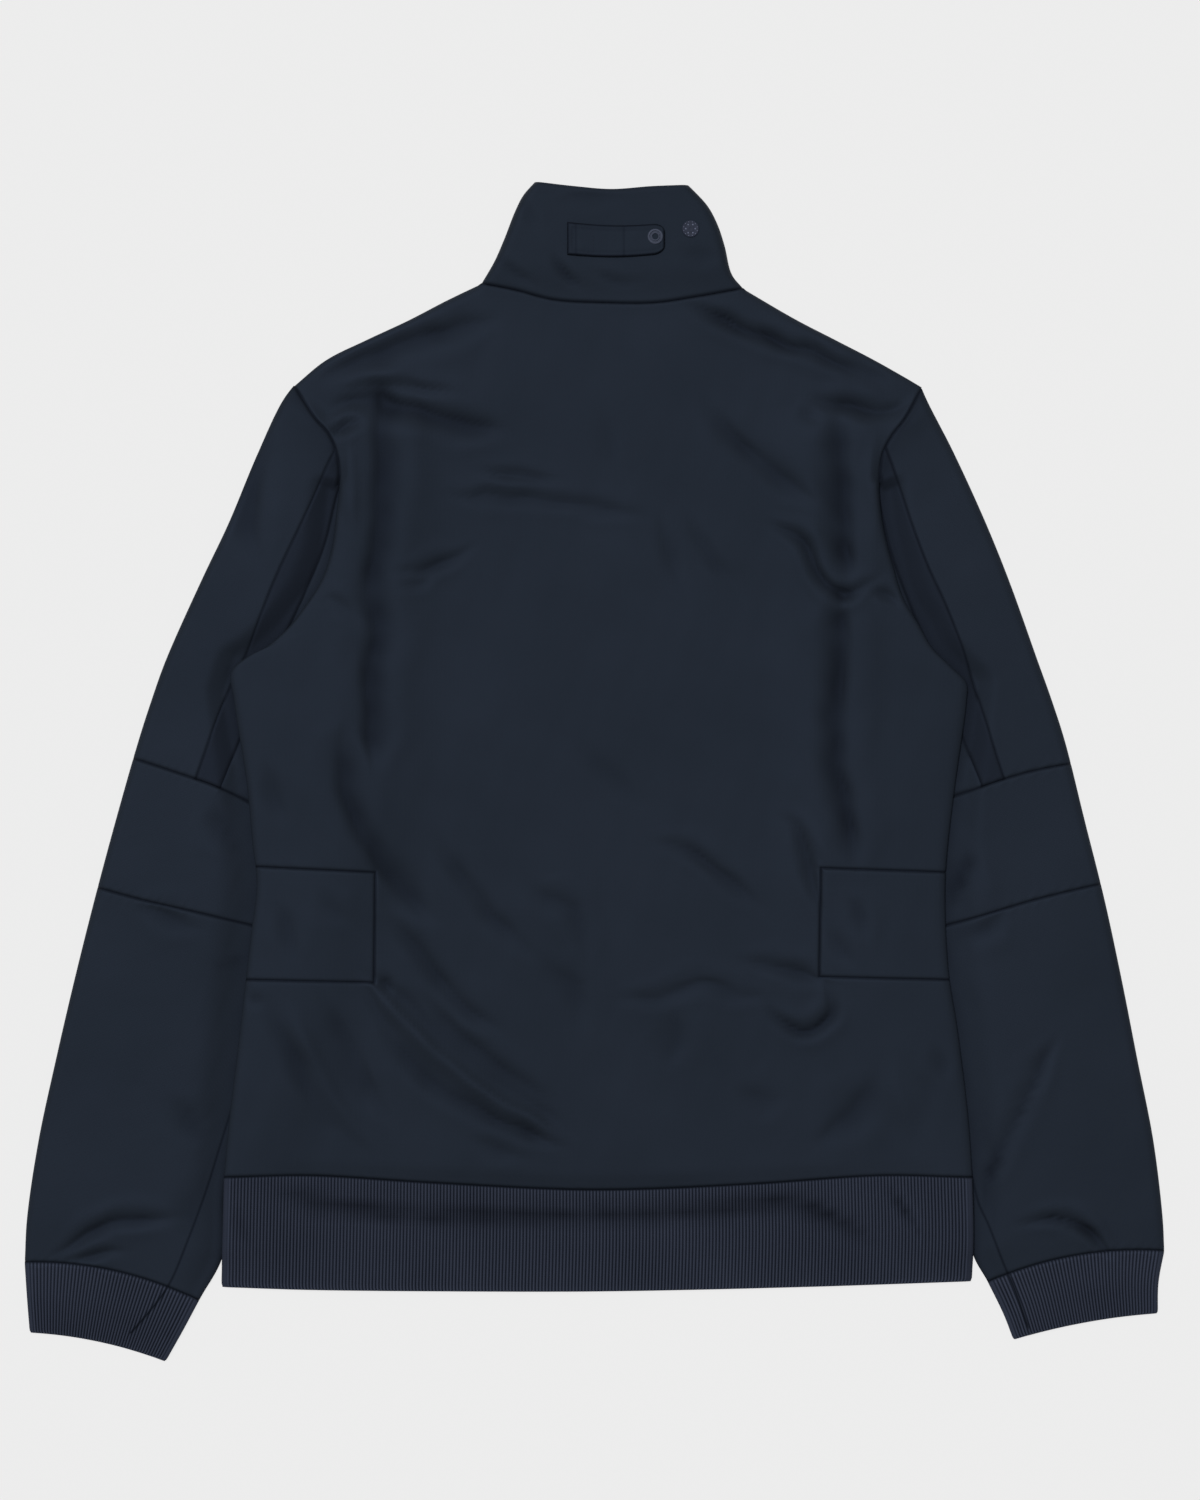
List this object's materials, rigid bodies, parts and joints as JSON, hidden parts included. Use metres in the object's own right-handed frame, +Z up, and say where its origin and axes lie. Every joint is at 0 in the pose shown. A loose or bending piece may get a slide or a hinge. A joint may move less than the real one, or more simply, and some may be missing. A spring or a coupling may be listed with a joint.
{
  "type": "track jacket",
  "caption": "Zipped track jacket with a stand collar, collar strap, rib knit cuffs and waistband, lying flat and face down with its sleeves along its sides",
  "frame": {"origin": "centre of the jacket's plan box, on the surface it lies on", "axes": "+X to the wearer's right, which is also right in the picture; +Y from waistband to collar; +Z up, out of the jacket's back"},
  "size_m": [0.7972, 0.8246, 0.013],
  "materials": {
    "cloth": "dark navy warp-knit tricot with a slight sheen",
    "collar": "dark navy double knit of the collar and its strap",
    "tape": "smooth darker inset tape on the sleeves",
    "rib": "matt dark navy rib knit",
    "snap": "dark lacquered snap parts",
    "zip": "dark moulded zip, slider and pull tab"
  },
  "bodies": {
    "jacket": {"back_panel": "cloth", "hip_panel_left": "cloth", "hip_panel_right": "cloth", "front_left": "cloth", "front_right": "cloth", "upper_sleeve_left": "cloth", "upper_sleeve_right": "cloth", "elbow_band_left": "cloth", "elbow_band_right": "cloth", "lower_sleeve_left": "cloth", "lower_sleeve_right": "cloth", "collar": "collar", "collar_tab": "collar", "sleeve_tape_left": "tape", "sleeve_tape_right": "tape", "cuff_rib_left": "rib", "cuff_rib_right": "rib", "hem_rib": "rib", "tab_snap": "snap", "collar_snap": "snap", "zip_chain": "zip", "zip_slider": "zip"},
    "pull": {"zip_pull": "zip"}
  },
  "joints": [
    {"name": "zip_pull_turn", "type": "hinge", "parent": "jacket", "child": "pull", "pos_m": [0, 0.39, 0.002], "axis": [1, 0, 0], "range_deg": [0, 165]}
  ]
}
